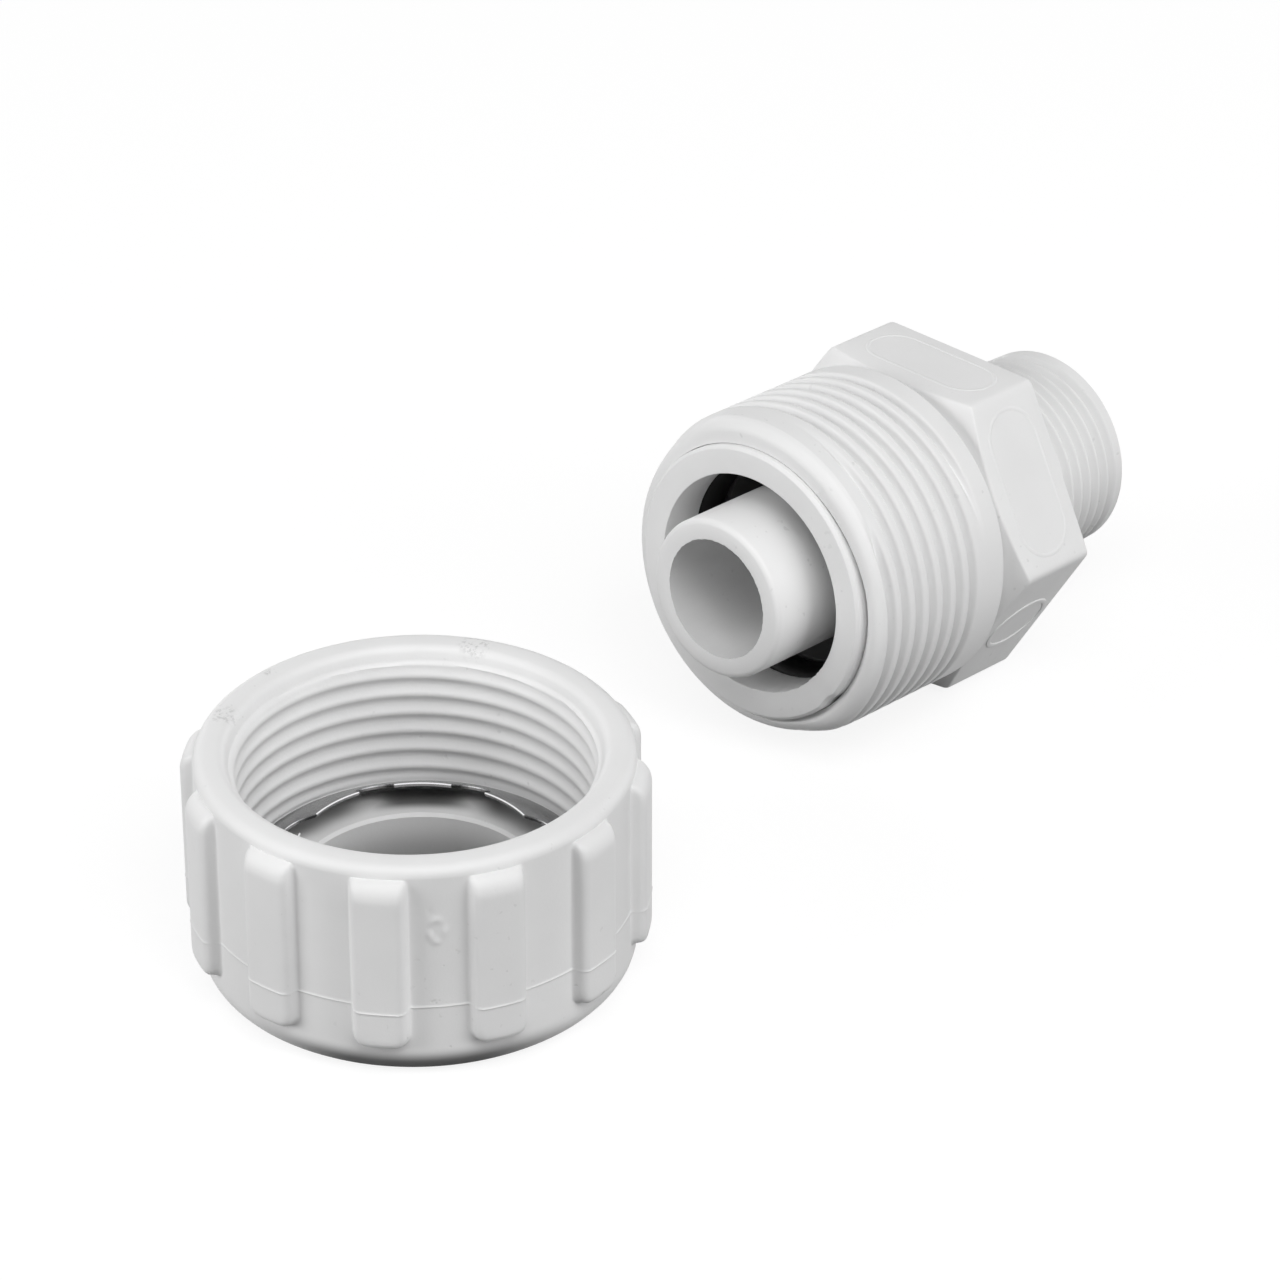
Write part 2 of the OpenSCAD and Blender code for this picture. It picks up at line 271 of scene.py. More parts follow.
def rangeNode(tree, source, low, high, toLow=0.0, toHigh=1.0):
    node = tree.nodes.new("ShaderNodeMapRange")
    node.interpolation_type = "SMOOTHSTEP"
    tree.links.new(source, node.inputs["Value"])
    for label, value in zip(("From Min", "From Max", "To Min", "To Max"), (low, high, toLow, toHigh)):
        node.inputs[label].default_value = value
    return node.outputs[0]


def mixColours(tree, first, second, share):
    # each colour is red, green and blue or a socket
    mix = tree.nodes.new("ShaderNodeMix")
    mix.data_type = "RGBA"
    for label, colour in (("A", first), ("B", second)):
        if isinstance(colour, tuple):
            mix.inputs[label].default_value = (*colour, 1)
        else:
            tree.links.new(colour, mix.inputs[label])
    tree.links.new(share, mix.inputs["Factor"])
    return mix.outputs["Result"]


noiseSpan = (0.3, 0.7)  # nearly all of a noise's values lie in this span


def addGloss(tree, shader, source, roughness):
    # smoother and rougher in patches, between two roughnesses
    gloss = rangeNode(tree, source, *noiseSpan, *roughness)
    tree.links.new(gloss, shader.inputs["Roughness"])


def addBump(tree, shader, height, strength, depth):
    bump = tree.nodes.new("ShaderNodeBump")
    bump.inputs["Strength"].default_value = strength
    bump.inputs["Distance"].default_value = depth * metresPerUnit
    tree.links.new(height, bump.inputs["Height"])
    tree.links.new(bump.outputs["Normal"], shader.inputs["Normal"])


# noise scales, and the noise values between which specks, worn patches and scratches begin
mouldedMarks = {
    "flow": 60, "satin": 2600, "specks": 1000, "patches": 75, "scratches": 1500,
    "speckEdge": (0.70, 0.78), "patchEdge": (0.46, 0.66), "scratchEdge": (0.50, 0.60),
    "flowHeight": 1.4, "bumpDepth": 0.04,
}
# share of a spot's size that is marked in full, and the width over which a painted shade stops
spotCore = 0.3
paintedShadeStop = 0.6


def mouldedGroup():
    # sink marks and flow of a moulding, its satin grain, and small scuffs
    group, into, out = newGroup(
        "mouldedSurface",
        [("Vector", "NodeSocketVector", None), ("Grain", "NodeSocketFloat", 1.0),
         ("Wear", "NodeSocketFloat", 1.0)],
        [("Tint", "NodeSocketFloat"), ("Wear", "NodeSocketFloat"), ("Height", "NodeSocketFloat")],
    )
    place = into.outputs["Vector"]
    flow = noiseNode(group, place, mouldedMarks["flow"], 3)
    satin = noiseNode(group, place, mouldedMarks["satin"], 2, 0.6)
    specks = noiseNode(group, place, mouldedMarks["specks"], 1)
    patches = noiseNode(group, place, mouldedMarks["patches"], 2)
    scuff = mathNode(group, "MULTIPLY", rangeNode(group, specks, *mouldedMarks["speckEdge"]),
                     rangeNode(group, patches, *mouldedMarks["patchEdge"]))
    scuff = mathNode(group, "MULTIPLY", scuff, into.outputs["Wear"])
    fine = mathNode(group, "MULTIPLY", satin, into.outputs["Grain"])
    height = mathNode(group, "MULTIPLY_ADD", flow, mouldedMarks["flowHeight"], fine)
    height = mathNode(group, "SUBTRACT", height, scuff)
    for label, source in (("Tint", flow), ("Wear", scuff), ("Height", height)):
        group.links.new(source, out.inputs[label])
    return group


def newMaterial(name):
    material = bpy.data.materials.new(name)
    material.use_nodes = True
    tree = material.node_tree
    shader = tree.nodes["Principled BSDF"]
    place = tree.nodes.new("ShaderNodeTexCoord")
    return material, tree, shader, place.outputs["Object"]


def mouldedNode(tree, place, grain, wear):
    surface = tree.nodes.new("ShaderNodeGroup")
    surface.node_tree = moulded
    surface.inputs["Grain"].default_value = grain
    surface.inputs["Wear"].default_value = wear
    tree.links.new(place, surface.inputs["Vector"])
    return surface.outputs


def nearPlace(tree, place, spot):
    # a mask that is 1 close to a spot and 0 beyond its size
    x, y, z, size = spot
    away = tree.nodes.new("ShaderNodeVectorMath")
    away.operation = "DISTANCE"
    tree.links.new(place, away.inputs[0])
    away.inputs[1].default_value = Vector((x, y, z)) * metresPerUnit
    reach = size * metresPerUnit
    return rangeNode(tree, away.outputs["Value"], spotCore * reach, reach, 1, 0)


def scuffMarks(tree, place, spots):
    # scratches inside each spot
    scratches = noiseNode(tree, place, mouldedMarks["scratches"], 3, 0.7)
    scratches = rangeNode(tree, scratches, *mouldedMarks["scratchEdge"])
    near = 0.0
    for spot in spots:
        near = mathNode(tree, "MAXIMUM", nearPlace(tree, place, spot), near)
    return mathNode(tree, "MULTIPLY", scratches, near)


def paintedShadeMask(tree, place, paintedShades):
    # painted shade in rings round the upright axis: it grows between two radii, stops at a third one,
    # fades between two heights, and may lie only near a spot
    parts = tree.nodes.new("ShaderNodeSeparateXYZ")
    tree.links.new(place, parts.inputs[0])
    x, y, z = parts.outputs
    radius = mathNode(tree, "SQRT", mathNode(
        tree, "MULTIPLY_ADD", x, x, mathNode(tree, "MULTIPLY", y, y)))
    total = 0.0
    for paintedShade in paintedShades:
        part = paintedShade["share"]
        stop = (paintedShade["stops"], paintedShade["stops"] + paintedShadeStop)
        for source, span, start, end in (
            (radius, paintedShade["grows"], 0, 1), (radius, stop, 1, 0), (z, paintedShade["fades"], 1, 0)
        ):
            low, high = (length * metresPerUnit for length in span)
            part = mathNode(tree, "MULTIPLY", rangeNode(tree, source, low, high, start, end), part)
        if "spot" in paintedShade:
            part = mathNode(tree, "MULTIPLY", nearPlace(tree, place, paintedShade["spot"]), part)
        total = mathNode(tree, "MAXIMUM", part, total)
    return total


def plastic(name, values):
    material, tree, shader, place = newMaterial(name)
    surface = mouldedNode(tree, place, values["grain"], values["wear"])
    marks, height = surface["Wear"], surface["Height"]
    if "scuffs" in values:
        marks = mathNode(tree, "MAXIMUM", marks, scuffMarks(tree, place, values["scuffs"]))
        dents = mathNode(tree, "MULTIPLY", marks, values["scuffDepth"])
        height = mathNode(tree, "SUBTRACT", height, dents)
    shades = rangeNode(tree, surface["Tint"], *noiseSpan)
    colour = mixColours(tree, values["shade"], values["colour"], shades)
    colour = mixColours(tree, colour, values["scuffed"], marks)
    shader.inputs["Specular IOR Level"].default_value = values["shine"]
    if "paintedShades" in values:
        # painted shade: a darker colour and no shine
        paintedShade = paintedShadeMask(tree, place, values["paintedShades"])
        colour = mixColours(tree, colour, values["paintedShade"], paintedShade)
        shine = mathNode(tree, "MULTIPLY_ADD", paintedShade, -values["shine"], values["shine"])
        tree.links.new(shine, shader.inputs["Specular IOR Level"])
    tree.links.new(colour, shader.inputs["Base Color"])
    addGloss(tree, shader, surface["Tint"], values["roughness"])
    addBump(tree, shader, height, values["bump"], mouldedMarks["bumpDepth"])
    return material


def rubber(name, values):
    material, tree, shader, place = newMaterial(name)
    surface = mouldedNode(tree, place, values["grain"], 0.0)
    shader.inputs["Base Color"].default_value = (*values["colour"], 1)
    shader.inputs["Specular IOR Level"].default_value = values["shine"]
    addGloss(tree, shader, surface["Tint"], values["roughness"])
    addBump(tree, shader, surface["Height"], values["bump"], mouldedMarks["bumpDepth"])
    return material


steelMarks = {"lineScale": 900, "cloudScale": 160, "bumpDepth": 0.03}


def steel(name, values):
    # rolled sheet: fine lines along one direction over a soft unevenness
    material, tree, shader, place = newMaterial(name)
    stretch = tree.nodes.new("ShaderNodeMapping")
    stretch.inputs["Scale"].default_value = values["lines"]
    tree.links.new(place, stretch.inputs["Vector"])
    lines = noiseNode(tree, stretch.outputs["Vector"], steelMarks["lineScale"], 3)
    cloud = noiseNode(tree, place, steelMarks["cloudScale"], 2)
    shader.inputs["Base Color"].default_value = (*values["colour"], 1)
    shader.inputs["Metallic"].default_value = 1.0
    addGloss(tree, shader, lines, values["roughness"])
    height = mathNode(tree, "MULTIPLY_ADD", cloud, values["waviness"], lines)
    addBump(tree, shader, height, values["bump"], steelMarks["bumpDepth"])
    return material


moulded = mouldedGroup()
bodyPlastic = plastic("bodyPlastic", {
    "colour": (0.79, 0.79, 0.79), "shade": (0.76, 0.76, 0.76), "scuffed": (0.60, 0.60, 0.60),
    "roughness": (0.45, 0.55), "shine": 0.32, "grain": 0.5, "wear": 0.55, "bump": 0.55,
})
# painted shade: the socket's floor and wall and the pocket's floor behind the seal are coloured dark
# for the shade deep in the socket
socketPaintedShade = plastic("socketPaintedShade", {
    "colour": (0.15, 0.15, 0.15), "shade": (0.11, 0.11, 0.11), "scuffed": (0.05, 0.05, 0.05),
    "roughness": (0.45, 0.55), "shine": 0.3, "grain": 0.5, "wear": 0.8, "bump": 0.5,
})
ringPlastic = plastic("ringPlastic", {
    "colour": (0.79, 0.79, 0.79), "shade": (0.75, 0.75, 0.75), "scuffed": (0.60, 0.60, 0.60),
    "roughness": (0.45, 0.55), "shine": 0.32, "grain": 0.6, "wear": 0.5, "bump": 0.6,
})
nutPlastic = plastic("nutPlastic", {
    "colour": (0.79, 0.79, 0.79), "shade": (0.75, 0.75, 0.75), "scuffed": (0.60, 0.60, 0.60),
    "roughness": (0.47, 0.57), "shine": 0.3, "grain": 0.6, "wear": 0.5, "bump": 0.6,
    "scuffDepth": 1.5,
    # x, y, z and size of each scuffed place on the rim
    "scuffs": ((-20.9, -10.4, 28.6, 2.4), (-10.7, 20.7, 28.6, 2.6), (-24.0, -0.3, 28.6, 1.0)),
    # colour of the painted shade in the rings below
    "paintedShade": (0.16, 0.16, 0.16),
    "paintedShades": (
        # painted shade in the floor's corner under the grip ring, and more of it at the back
        {"grows": (15.2, 18.2), "stops": 19.6, "fades": (10.0, 10.4), "share": 0.55},
        {"grows": (15.0, 17.0), "stops": 19.6, "fades": (10.0, 10.4), "share": 0.85,
         "spot": (-12, 13, 9.9, 9)},
        # painted shade in the pipe hole, darker lower down
        {"grows": (13.0, 13.6), "stops": 14.27, "fades": (4, 9.6), "share": 0.6},
        # painted shade on the front of the foot
        {"grows": (20.0, 22.0), "stops": 26.0, "fades": (2.0, 4.2), "share": 0.95,
         "spot": (17, -17.5, 2, 22)},
    ),
})
sealRubber = rubber("sealRubber", {
    "colour": (0.004, 0.004, 0.004), "roughness": (0.42, 0.58), "shine": 0.15,
    "grain": 0.8, "bump": 0.5,
})
# painted shade and painted highlight: the sheet's steel is coloured dark, and a copy for the upper
# strip of each cut edge bright
shadedSheetSteel = steel("shadedSheetSteel", {
    "colour": (0.22, 0.22, 0.223), "roughness": (0.16, 0.30), "lines": (1, 12, 1),
    "waviness": 2.0, "bump": 0.35,
})
highlightedEdgeSteel = steel("highlightedEdgeSteel", {
    "colour": (0.9, 0.9, 0.91), "roughness": (0.14, 0.28), "lines": (1, 1, 14),
    "waviness": 1.0, "bump": 0.6,
})
print("materials ready")

# Fitting body, in its own axes: height is the distance behind the retainer ring's face
body = {
    "columns": 216,
    "cornerColumn": 0.8,
    "tubeTip": -6.0, "tubeRadius": 10.35, "tubeRounding": 0.75,
    "boreRadius": 7.8, "boreRounding": 0.25, "boreBurr": 0.17,
    "tubeFillet": 0.3, "socketFloor": 22.0, "socketRadius": 13.6, "socketRounding": 0.3,
    "pocketFloor": 10.9, "pocketRadius": 17.95, "pocketRounding": 0.25,
    "lipFront": 0.9, "lipHeights": (0.9, 1.0, 1.2, 1.5, 1.9, 2.4, 3.2, 5.2),
    "lipFull": (19.5, 19.85, 20.2, 20.55, 20.82, 21.0, 21.0, 21.0),
    "lipLow": (18.5, 18.8, 19.1, 19.4, 19.65, 19.9, 20.25, 21.0),
    "partingTurn": 60, "flash": 0.55, "flashWidth": 0.7, "lipChange": 55, "lipBlend": 13,
    "mouthRadius": 17.92, "mouthGap": 1.0, "mouthGapLength": 0.8, "mouthTurn": 22, "mouthHalf": 88,
    "threadFront": 1.8, "crestRadius": 21.0, "rootRadius": 19.67,
    "collarBack": 24.0, "collarRounding": 0.25,
    "neckRadius": 19.27, "neckBack": 25.1,
    "hexagonHalf": 20.0, "hexagonBack": 38.2, "hexagonCorner": 1.2,
    "hexagonSlope": 22.5, "edgeRounding": 0.22, "cornerSpan": 1.5, "tailFillet": 0.3,
    "tailBase": 13.62, "tailStart": 39.1, "tailEnd": 58.0, "tailTaper": 1 / 32,
    "tailChamfer": 0.65,
}
barrelThread = {
    "start": 1.85, "pitch": 2.54, "depth": 1.33, "turn": -45,
    "section": {"fall": 0.25, "root": 0.07, "rise": 0.25, "soft": 0.3},
    "fadeAngles": (0, 22, 200, 255, 315, 372, 2500, 2549),
    "fadeDepths": (0, 1, 1, 0, 0, 1, 1, 0),
}
tailThread = {
    "start": 39.1, "pitch": 1.814, "depth": 1.2, "turn": -180,
    "section": {"fall": 0.42, "root": 0.02, "rise": 0.42, "soft": 0.16},
    "turns": 9.0,
}

# raised outlines of plates, one on each of three flats
outlines = (
    {"turn": 90, "middle": 32.5, "halfWidth": 9.3, "halfLength": 3.8, "endRadius": 3.8,
     "bead": 0.32, "proud": 0.11},
    {"turn": 30, "middle": 31.9, "halfWidth": 9.5, "halfLength": 4.3, "endRadius": 4.2,
     "bead": 0.32, "proud": 0.11},
    {"turn": -30, "middle": 32.1, "halfWidth": 4.1, "halfLength": 4.7, "endRadius": 4.1,
     "bead": 0.42, "proud": 0.24},
)
outlineSteps = {"round": 96, "bead": 8, "sunk": 0.04}


def barrelFade(turned):
    return eased(np.interp(turned, barrelThread["fadeAngles"], barrelThread["fadeDepths"]))


def flashAt(angle):
    # the mould's two halves meet on opposite sides and leave a thin line there
    off = np.minimum(nearTurn(angle, body["partingTurn"]), nearTurn(angle, body["partingTurn"] + 180))
    return np.exp(-((off / body["flashWidth"]) ** 2))


def lipRadius(height, angle):
    # the lip is full on one half of the mould and drawn in on the other
    off = nearTurn(angle, body["lipChange"] + 90)
    share = smoothShare(90 - off, -body["lipBlend"], body["lipBlend"])
    full = np.interp(height, body["lipHeights"], body["lipFull"])
    low = np.interp(height, body["lipHeights"], body["lipLow"])
    return full + (low - full) * share


def barrelWall(height, turned, depth):
    angle = turned + barrelThread["turn"]
    crest = lipRadius(height, angle)
    filled = depth * (1 - body["flash"] * flashAt(angle))
    return np.maximum(crest - filled, np.minimum(crest, body["rootRadius"]))


def tailRadius(height):
    return body["tailBase"] - (height - body["hexagonBack"]) * body["tailTaper"]


def hexagonRadius(angles):
    # flats at right angles to the columns halfway between two corners, and rounded corners
    off = np.abs((angles + 30) % 60 - 30)
    fromFlat = np.radians(30 - off)
    flat = body["hexagonHalf"] / np.cos(fromFlat)
    reach = (body["hexagonHalf"] - body["hexagonCorner"]) / math.cos(math.radians(30))
    a = np.radians(off)
    inside = np.maximum(body["hexagonCorner"] ** 2 - (reach * np.sin(a)) ** 2, 0)
    corner = reach * np.cos(a) + np.sqrt(inside)
    return np.where(off < body["cornerSpan"], np.minimum(flat, corner), flat)


def addOutline(skin, outline):
    # a thin raised bead round a plate on a flat; the bead's lower half lies inside the flat
    turn = math.radians(outline["turn"])
    normal = np.array((math.cos(turn), -math.sin(turn), 0))
    across = np.array((-math.sin(turn), -math.cos(turn), 0))
    along = np.array((0, 0, 1))
    n, m = outlineSteps["round"], outlineSteps["bead"]
    a = (np.arange(n) + 0.5) * 2 * math.pi / n
    straight = outline["halfWidth"] - outline["endRadius"]
    centre = np.column_stack([
        np.sign(np.cos(a)) * straight + outline["endRadius"] * np.cos(a),
        outline["halfLength"] * np.sin(a) + outline["middle"],
    ])
    outward = np.column_stack([np.cos(a) / outline["endRadius"], np.sin(a) / outline["halfLength"]])
    outward /= np.linalg.norm(outward, axis=1)[:, None]
    rings = []
    for k in range(m):
        b = 2 * math.pi * k / m
        flat = centre + outward * outline["bead"] * math.cos(b)
        lift = body["hexagonHalf"] - outlineSteps["sunk"] + outline["proud"] * math.sin(b)
        points = flat[:, :1] * across + flat[:, 1:] * along + lift * normal
        first = len(skin["points"])
        skin["points"] += [tuple(p) for p in points]
        rings.append(list(range(first, first + n)))
    bridge(skin, rings + rings[:1])


def buildBody():
    spread = np.arange(body["columns"]) * 360 / body["columns"]
    extra = [60 * k + side * body["cornerColumn"] for k in range(6) for side in (-1, 1)]
    angles = np.array(sorted(set(np.round(spread, 4)) | set(np.round(np.array(extra) % 360, 4))))
    skin = newSkin(angles)
    inside = ringsOf(skin, roundedPath([
        (body["tubeTip"], body["boreRadius"] + 1, 0),
        (body["tubeTip"], body["tubeRadius"], body["tubeRounding"]),
        (body["socketFloor"] - body["tubeFillet"], body["tubeRadius"], 0),
    ]))
    socket = ringsOf(skin, roundedPath([
        (body["socketFloor"], body["tubeRadius"] + body["tubeFillet"], 0),
        (body["socketFloor"], body["socketRadius"], body["socketRounding"]),
        (body["pocketFloor"] + 0.05, body["socketRadius"], 0),
    ]))
    pocket = ringsOf(skin, roundedPath([
        (body["pocketFloor"], body["socketRadius"] + 0.05, 0),
        (body["pocketFloor"], body["pocketRadius"], body["pocketRounding"]),
        (body["lipFront"] + body["mouthGapLength"] + 0.2, body["pocketRadius"], 0),
    ]))
    # the mouth's edge stands a little away from the retainer ring on one side
    front = body["lipFront"]
    gap = body["mouthGap"] * smoothShare(
        body["mouthHalf"] - nearTurn(angles, body["mouthTurn"]), 0, body["mouthHalf"] * 0.8)
    lip = [addRing(skin, front + body["mouthGapLength"] * drop, body["mouthRadius"] + gap * wide)
           for drop, wide in ((1, 0), (0.7, 0.3), (0.35, 0.65), (0.06, 0.95))]
    lip.append(addRing(skin, front, body["mouthRadius"] + 0.06 + gap))
    lip += [addRing(skin, front + drop, lipRadius(front + drop, angles) - shrink)
            for drop, shrink in ((0, 0.2), (0.02, 0.08), (0.1, 0), (0.2, 0), (0.3, 0), (0.45, 0),
                                 (0.6, 0))]
    threadLow = addRing(skin, body["threadFront"], lipRadius(body["threadFront"], angles))
    bridge(skin, inside + socket[:1])
    # finish 1 is the painted shade of the socket's floor, its wall and the pocket's floor behind the
    # seal
    bridge(skin, socket + pocket[:2], 1)
    bridge(skin, pocket[1:] + lip + [threadLow])

    collarFront = body["collarBack"] - body["collarRounding"] * 2
    threadHigh = addRing(skin, collarFront, body["crestRadius"])
    threadWall(skin, dict(barrelThread, fade=barrelFade, wall=barrelWall), threadLow, threadHigh,
               body["threadFront"], collarFront)

    neck = ringsOf(skin, roundedPath([
        (collarFront + 0.1, body["crestRadius"], 0),
        (body["collarBack"], body["crestRadius"], body["collarRounding"]),
        (body["collarBack"], body["neckRadius"], 0.2),
        (body["neckBack"], body["neckRadius"], 0),
    ]))
    slope = math.tan(math.radians(body["hexagonSlope"]))
    flats = hexagonRadius(angles)
    edge = body["edgeRounding"]
    middle = (body["neckRadius"] + flats) / 2
    cone = [addRing(skin, body["neckBack"] + (r - body["neckRadius"]) * slope, r)
            for r in (middle, flats - edge)]
    coneEnd = body["neckBack"] + (flats - body["neckRadius"]) * slope
    cone.append(addRing(skin, coneEnd + edge * 0.15, flats - edge * 0.3))
    cone.append(addRing(skin, coneEnd + edge, flats))
    back = body["hexagonBack"]
    sides = [addRing(skin, coneEnd + (back - edge - coneEnd) * share, flats)
             for share in (0.35, 0.7, 1)]
    sides.append(addRing(skin, back - edge * 0.25, flats - edge * 0.25))
    sides.append(addRing(skin, back, flats - edge))
    sides.append(addRing(skin, back, (body["tailBase"] + flats) / 2))
    fillet = body["tailFillet"]
    sides += ringsOf(skin, [(back, body["tailBase"] + fillet),
                            (back + fillet * 0.3, body["tailBase"] + fillet * 0.3),
                            (back + fillet, tailRadius(back + fillet))])
    tailFront = body["tailStart"] - 0.05
    tailLow = addRing(skin, tailFront, tailRadius(body["tailStart"]))
    bridge(skin, [threadHigh] + neck + cone + sides + [tailLow])

    threadEnd = body["tailEnd"] - body["tailChamfer"]
    tailHigh = addRing(skin, threadEnd, tailRadius(threadEnd))
    last = tailThread["turns"] * 360

    def tailFade(turned):
        return np.clip(np.minimum(turned, last - turned) / 45, 0, 1)

    def tailWall(height, turned, depth):
        flash = flashAt(turned + tailThread["turn"])
        return tailRadius(height) - depth * (1 - body["flash"] * flash)

    threadWall(skin, dict(tailThread, fade=tailFade, wall=tailWall), tailLow, tailHigh,
               tailFront, threadEnd)
    bore = body["boreRadius"]
    end = ringsOf(skin, roundedPath([
        (threadEnd, tailRadius(threadEnd) - 0.02, 0),
        (body["tailEnd"], tailRadius(threadEnd) - body["tailChamfer"], 0.15),
        (body["tailEnd"], bore, body["boreRounding"]),
        (30, bore, 0),
        (4, bore, 0),
        (body["tubeTip"] + 0.4, bore, 0),
    ]))
    burr = body["boreBurr"] * ragged(angles)
    end.append(addRing(skin, body["tubeTip"] + 0.16, bore - burr * 0.4))
    end.append(addRing(skin, body["tubeTip"] + 0.04, bore + 0.02 - burr))
    end.append(addRing(skin, body["tubeTip"], bore + 0.22 - burr * 0.5))
    bridge(skin, [tailHigh] + end + [inside[0]])
    for outline in outlines:
        addOutline(skin, outline)
    return makePiece("fittingBody", skin, [bodyPlastic, socketPaintedShade], laid)


fittingBody = buildBody()
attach(fittingBody, "root")
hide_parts("fitting_body")

# Retainer ring, in the body's axes
ring = {
    "columns": 240, "holeRadius": 14.25, "outerRadius": 17.85, "length": 6.1,
    "chamfer": 0.4, "holeEdge": 0.12,
    "seam": 3.0, "chipTurn": 38, "chipWidth": 4.5, "chipDepth": 0.35, "chipSlope": 0.3,
    "burrTurn": 58, "burrHalf": 40, "burr": 0.2,
}


def buildRing():
    skin = newSkin(np.arange(ring["columns"]) * 360 / ring["columns"])
    off = nearTurn(skin["angles"], ring["chipTurn"])
    chip = ring["chipDepth"] * np.clip(1 - off / ring["chipWidth"], 0, 1) ** 0.5
    near = smoothShare(ring["burrHalf"] - nearTurn(skin["angles"], ring["burrTurn"]), 0, 20)
    burr = ring["burr"] * near * ragged(skin["angles"])
    path = roundedPath([
        (ring["seam"], ring["holeRadius"], 0),
        (0, ring["holeRadius"], ring["holeEdge"]),
        (0, ring["outerRadius"] - ring["chamfer"], 0.2),
        (ring["chamfer"], ring["outerRadius"], 0.2),
        (ring["length"], ring["outerRadius"], 0.2),
        (ring["length"], ring["holeRadius"], 0.2),
        (ring["seam"] + 0.1, ring["holeRadius"], 0),
    ])
    rings = []
    # the chip is on the front's outer edge and the burr round the hole
    for height, radius in path:
        outer = radius > ring["outerRadius"] - ring["chamfer"] - 0.5 and height < 1
        inner = radius < ring["holeRadius"] + 0.15 and height < 0.2
        rings.append(addRing(
            skin, height + ring["chipSlope"] * chip * outer, radius - chip * outer - burr * inner))
    bridge(skin, rings + rings[:1])
    return makePiece("retainerRing", skin, [ringPlastic], laid)


retainerRing = buildRing()
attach(retainerRing, "root")
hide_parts("retainer_ring")

# Seal: the CAD ring keeps its mesh and gets the rubber
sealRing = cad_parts["seal_ring"]
sealRing.data.materials.clear()
sealRing.data.materials.append(sealRubber)
sealRing.data.polygons.foreach_set("use_smooth", [True] * len(sealRing.data.polygons))

# Clamp nut, standing on its closed end
nut = {
    "height": 28.6, "radius": 25.7, "footRounding": 3.3, "rimRounding": 1.4,
    "floor": 9.9, "holeRadius": 14.25, "holeChamfer": 0.4, "relief": 0.45, "ridgeFoot": 0.9,
    "threadRadius": 21.25, "mouthRadius": 22.1, "mouthRounding": 1.2,
    "mouthFloor": 26.8, "mouthFoot": 21.6, "leadInSlope": 1.5,
    "ribs": 12, "ribTurn": 5.8, "ribHalf": 3.06, "ribProud": 1.72, "ribFoot": 4.8,
    "ribEnd": 27.15, "ribOver": 0.7, "ribTopLength": 2.5, "ribCorner": 1.6,
    "ribRounding": 1.1, "ribRoot": 0.4,
    "partingLine": 9.9, "partingHeight": 0.08, "partingWidth": 0.12,
    "gateTurn": -39.7, "gateHeight": 20.4, "gateRadius": 0.95, "gateEdge": 0.3, "gateProud": 0.16,
    # a blob under the gate and a dent over it: aside, up, half width, half height, proud
    "gateMounds": ((0, -1.7, 0.5, 0.3, 0.13), (-0.8, 2.5, 0.25, 0.25, -0.1)),
}
nutThread = {
    "start": 7.76, "pitch": 2.54, "depth": 0.46, "turn": -46.8,
    "section": {"fall": 0.31, "root": 0.005, "rise": 0.35, "soft": 0.5},
}
# rows from the ribs' foot, from the parting line, on plain wall and down from the ribs' top end
footRows = (-1.1, -0.7, -0.45, -0.3, -0.18, -0.08, 0, 0.1, 0.25, 0.45, 0.7, 1, 1.5, 2.4, 3.8)
partingRows = (-0.4, -0.22, -0.11, 0, 0.11, 0.22, 0.4)
plainRows = (12, 15, 17.5)
topRows = (
    3.65, 2.95, 2.55, 2.25, 2, 1.75, 1.45, 1.2, 0.95, 0.65, 0.4, 0.25, 0.15, 0.07, 0.02, -0.01,
)
# columns on either side of each rib's middle, in degrees
ribColumns = (0, 2.6, 4.2, 4.8, 5.3, 5.7, 6.1, 6.45, 6.75, 7.0, 7.25, 7.5, 7.8, 8.2, 9.5, 12)


def ribHeight(across, height):
    # distance from the rib's rounded outline, then its rounded edge and its fillet
    half = nut["ribHalf"]
    top = nut["ribEnd"] + nut["ribOver"]
    middle = (nut["ribFoot"] + top) / 2
    corner = nut["ribCorner"]
    dx = np.abs(across) - half + corner
    dz = np.abs(height - middle) - (top - middle) + corner
    outside = np.hypot(np.maximum(dx, 0), np.maximum(dz, 0))
    d = outside + np.minimum(np.maximum(dx, dz), 0) - corner
    r, root = nut["ribRounding"], nut["ribRoot"]
    side = nut["ribProud"] - r
    face = side + np.sqrt(np.maximum(r * r - np.maximum(d + r, 0) ** 2, 0))
    fillet = side * (np.clip(root - d, 0, root) / root) ** 2
    proud = np.where(d <= 0, face, fillet)
    # the top end curves back to the wall
    share = np.clip((nut["ribEnd"] - height) / nut["ribTopLength"], 0, 1)
    return proud * np.sqrt(1 - (1 - share) ** 2)


def nutOuter(angles, height, radius):
    off = (angles - nut["ribTurn"] + 15) % 30 - 15
    across = nut["radius"] * np.sin(np.radians(off))
    line = nut["partingHeight"] * math.exp(-((height - nut["partingLine"]) / nut["partingWidth"]) ** 2)
    # the gate left a small torn ring on the wall between two ribs
    aside = nut["radius"] * np.radians((angles - nut["gateTurn"] + 180) % 360 - 180)
    up = height - nut["gateHeight"]
    out = np.hypot(aside, up * 0.7)
    torn = 0.6 + 0.4 * np.cos(3 * np.arctan2(up, aside) + 1)
    gate = nut["gateProud"] * torn * np.exp(-(((out - nut["gateRadius"]) / nut["gateEdge"]) ** 2))
    for x, z, width, tall, proud in nut["gateMounds"]:
        gate += proud * np.exp(-(((aside - x) / width) ** 2) - ((up - z) / tall) ** 2)
    return radius + ribHeight(across, height) + line + gate


